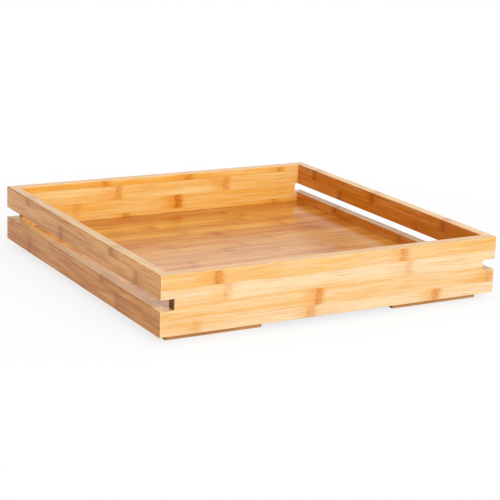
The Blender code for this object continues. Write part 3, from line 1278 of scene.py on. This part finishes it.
@dataclass(frozen=True)
class Panel(SubAssembly):
    """The bottom panel, whose strips run along the front wall and whose edges lie in the grooves."""

    seen: Layup = Layup("bottom_panel", top_strip=0.0028, strips=(
        Strip(0.6, 0.1),
        Strip(0.7, 0.1, (Knot(0.07, 0.4),)),
        Strip(0.85, 0.2, (Knot(0.14, 0.5), Knot(0.259, 0.7))),
        Strip(0.55, 0.1, (Knot(0.279, 0.5),)),
        Strip(0.05, 0.0, (Knot(0.145, 0.7), Knot(0.265, 0.6))),
        Strip(0.75, 0.15, (Knot(0.06, 0.3), Knot(0.302, 0.5))),
        Strip(0.15, 0.0, (Knot(0.172, 0.4), Knot(0.302, 0.5))),
        Strip(0.7, 0.1, (Knot(0.205, 1.0),)),
        Strip(0.75, 0.05, (Knot(0.09, 0.4), Knot(0.33, 0.5))),
        Strip(0.4, 0.0, (Knot(0.127, 0.5), Knot(0.2537, 0.55))),
        Strip(0.3, 0.0, (Knot(0.209, 0.45), Knot(0.35, 0.35))),
        Strip(0.5, 0.0, (Knot(0.182, 0.6),)),
        Strip(0.35, 0.0, (Knot(0.234, 0.4), Knot(0.295, 0.35))),
        Strip(0.35, 0.0, (Knot(0.119, 0.45), Knot(0.31, 0.35))),
    ))
    chance_knot_starts: tuple[float, float] = (0.03, 0.2)
    chance_knot_reach: float = 0.1
    chance_knot_shares: tuple[float, float] = (0.3, 0.6)
    chance_deep_shares: tuple[float, float] = (0.2, 0.8)
    chance_warm_shares: tuple[float, float] = (0.0, 0.2)

    def chance_strip(self, chooser: random.Random) -> Strip:
        """Draws a strip that the photograph doesn't show clearly.

        Args:
            chooser: the source of chance.

        Returns:
            The strip.
        """
        knots = []
        for start in self.chance_knot_starts:
            place = chooser.uniform(start, start + self.chance_knot_reach)
            knots.append(Knot(place, chooser.uniform(*self.chance_knot_shares)))
        deep_share = chooser.uniform(*self.chance_deep_shares)
        return Strip(deep_share, chooser.uniform(*self.chance_warm_shares), tuple(knots))

    def boards(self) -> list[PressedBoard]:
        """Describes the panel.

        Returns:
            The panel, in a list.
        """
        low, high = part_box("bottom_panel")
        length, height, depth = extents("bottom_panel")
        sizes = BoardSizes(length + 2 * JOINT_GAP, height, depth, self.seen.top_strip)
        chooser = random.Random("panel strips")
        strips = list(self.seen.strips)
        while len(strips) <= len(sizes.seams()):
            strips.append(self.chance_strip(chooser))
        layup = replace(self.seen, strips=tuple(strips))
        place = Matrix.Translation((0, low.y, high.z)) @ Matrix.Rotation(-pi / 2, 4, "X")
        return [PressedBoard(layup, PANEL_FINISH, Lie.FLAT, sizes, place)]


@dataclass(frozen=True)
class FootBlock(PressedBoard):
    """A foot: one strip high, with rounded upright corners and an eased lower edge."""

    corner_radius: float = 0.0015
    corner_segments: int = 3

    def ease(self, easing: Easing) -> None:
        """Rounds the upright corners, then the edge that the foot stands on.

        Args:
            easing: the foot's open mesh.
        """
        edges = easing.shape.edges
        upright = [edge for edge in edges if edge.verts[0].co.z != edge.verts[1].co.z]
        easing.bevel(upright, self.corner_radius, self.corner_segments)
        for face in easing.shape.faces:
            face[easing.arris] = 0.0
        lower = [edge for edge in edges if all(vertex.co.z < TOLERANCE for vertex in edge.verts)]
        easing.bevel(lower, ARRIS_RADIUS, ARRIS_SEGMENTS)
        easing.close()


@dataclass(frozen=True)
class Feet(SubAssembly):
    """The four low blocks under the panel's corners, each cut from one strip."""

    feet: tuple[Layup, ...] = (
        Layup("front_left_foot", (Strip(0.5, 0.1, (Knot(0.075, 0.9),)),)),
        Layup("front_right_foot", (Strip(0.1, 0.0, (Knot(0.05, 0.4),)),)),
        Layup("back_left_foot", (Strip(0.3, 0.1, (Knot(0.03, 0.7),)),)),
        Layup("back_right_foot", (Strip(0.6, 0.1, (Knot(0.085, 0.8),)),)),
    )

    def boards(self) -> list[PressedBoard]:
        """Describes the feet.

        Returns:
            The feet.
        """
        boards = []
        for layup in self.feet:
            low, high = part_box(layup.node)
            length, depth, height = extents(layup.node)
            sizes = BoardSizes(length + 2 * JOINT_GAP, height, depth, top_strip=height)
            place = Matrix.Translation(((low.x + high.x) / 2, low.y, low.z))
            boards.append(FootBlock(layup, FOOT_FINISH_PAINTED_LIGHT, Lie.ALONG_X, sizes, place))
        return boards


@dataclass(frozen=True)
class Dowels:
    """The dowels across the mitres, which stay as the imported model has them."""

    finish: DowelFinish = DowelFinish()

    def build(self, shop: Workshop) -> list[Thing]:
        """Dresses the dowels.

        Args:
            shop: what makes their finish.

        Returns:
            The dowels.
        """
        wood = shop.bare_wood(self.finish)
        dowels = [thing for name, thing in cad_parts.items() if name.endswith("_dowel")]
        for dowel in dowels:
            for slot in dowel.material_slots:
                slot.material = wood
        return dowels


@dataclass(frozen=True)
class Studio:
    """The picture's camera, its soft lamp, its world and its pale floor."""

    camera_place: Place = (-0.83214, -1.45307, 0.47938)
    camera_turn: float = 0.5265
    camera_dip: float = 0.2652
    camera_roll: float = -0.0395
    lens_mm: float = 111.51
    sensor_mm: float = 36.0
    farthest_seen: float = 200.0
    lamp_turn: float = radians(-3)
    lamp_rise: float = radians(30)
    lamp_distance: float = 3.0
    lamp_size: float = 1.6
    lamp_watts: float = 53.5
    world_level: float = 0.78
    floor_size: float = 40.0
    floor_drop: float = 0.00005
    floor_colour: ScreenColour = (244, 244, 244)
    bounce_colour: ScreenColour = (188, 188, 188)
    shadow_share: float = 0.22
    shadow_fade: tuple[float, float] = (0.24, 0.6)

    def build(self) -> None:
        """Sets up the whole picture."""
        bpy.context.scene.view_settings.view_transform = "Standard"
        self.add_camera()
        self.add_lamp()
        self.add_world()
        self.add_floor()

    def add_camera(self) -> None:
        """Stands the camera where the photograph was taken from."""
        turn, dip, roll = self.camera_turn, self.camera_dip, self.camera_roll
        forward = Vector((sin(turn) * cos(dip), cos(turn) * cos(dip), -sin(dip)))
        right = Vector((cos(turn), -sin(turn), 0.0))
        down = forward.cross(right)
        rolled_right = cos(roll) * right + sin(roll) * down
        rolled_down = cos(roll) * down - sin(roll) * right
        lens = bpy.data.cameras.new("camera")
        lens.lens = self.lens_mm
        lens.sensor_width = self.sensor_mm
        lens.clip_end = self.farthest_seen
        camera = show("camera", lens)
        facing = Matrix((rolled_right, -rolled_down, -forward)).transposed().to_4x4()
        camera.matrix_world = Matrix.Translation(self.camera_place) @ facing
        bpy.context.scene.camera = camera

    def add_lamp(self) -> None:
        """Hangs one large soft lamp in front of the tray, whose glare the lacquer doesn't show."""
        lamp = bpy.data.lights.new("soft_box", "AREA")
        lamp.shape = "DISK"
        lamp.size = self.lamp_size
        lamp.energy = self.lamp_watts
        flat = cos(self.lamp_rise) * self.lamp_distance
        height = sin(self.lamp_rise) * self.lamp_distance
        place = Vector((sin(self.lamp_turn) * flat, -cos(self.lamp_turn) * flat, height))
        holder = show("soft_box", lamp)
        holder.location = place
        holder.visible_glossy = False
        holder.rotation_euler = (-place).to_track_quat("-Z", "Y").to_euler()

    @staticmethod
    def seen_directly(bench: NodeBench) -> Socket:
        """Masks what the camera sees, also in gloss and through glass.

        Args:
            bench: the bench of the world or the material.

        Returns:
            The mask, 1 for what is seen.
        """
        rays = bench.add("ShaderNodeLightPath").outputs
        seen = bench.math("ADD", rays["Is Camera Ray"], rays["Is Glossy Ray"])
        return bench.math("ADD", seen, rays["Is Transmission Ray"], clamp=True)

    def add_world(self) -> None:
        """Makes a plain white world that lights the tray at a lower level."""
        world = bpy.data.worlds.new("white_studio")
        world.use_nodes = True
        bpy.context.scene.world = world
        bench = NodeBench(world.node_tree)
        level = bench.line(self.seen_directly(bench), 1.0 - self.world_level, self.world_level)
        bench.feed(world.node_tree.nodes["Background"], {"Color": WHITE, "Strength": level})

    def add_floor(self) -> None:
        """Lays a pale floor that keeps a soft shadow near the tray and is white further off."""
        half = self.floor_size / 2
        corners = [(-half, -half), (half, -half), (half, half), (-half, half)]
        mesh = bpy.data.meshes.new("floor")
        mesh.from_pydata([(x, y, -self.floor_drop) for x, y in corners], [], [(0, 1, 2, 3)])
        mesh.materials.append(self.floor_material())
        show("floor", mesh)

    def floor_material(self) -> Material:
        """Makes the floor's material.

        Returns:
            The material.
        """
        material = bpy.data.materials.new("pale_floor")
        material.use_nodes = True
        nodes = material.node_tree.nodes
        nodes.remove(nodes["Principled BSDF"])
        bench = NodeBench(material.node_tree)
        place = {0: bench.coordinates("Object")}
        away = bench.add("ShaderNodeVectorMath", place, operation="LENGTH").outputs["Value"]
        seen = self.seen_directly(bench)
        fade = bench.smooth(away, *self.shadow_fade)
        lift = bench.line(fade, self.shadow_share, 1.0 - self.shadow_share)
        colour = bench.blend(seen, linear_colour(self.bounce_colour), linear_colour(self.floor_colour))
        matte = bench.add("ShaderNodeBsdfDiffuse", {"Color": colour}).outputs[0]
        white = bench.add("ShaderNodeEmission", {"Color": WHITE, "Strength": 1.0}).outputs[0]
        mixed = bench.add("ShaderNodeMixShader", {0: bench.times(lift, seen), 1: matte, 2: white})
        bench.feed(nodes["Material Output"], {"Surface": mixed.outputs[0]})
        return material


def main() -> None:
    """Builds the tray part by part, reports each piece and sets up the picture."""
    logging.basicConfig(level=logging.INFO, format="%(message)s")
    shop = Workshop()
    for part in (Walls(), SideRails(), Panel(), Feet(), Dowels()):
        for piece in part.build(shop):
            LOG.info("%s: %s has %d faces", type(part).__name__, piece.name, len(piece.data.polygons))
    Studio().build()


if __name__ == "__main__":
    main()
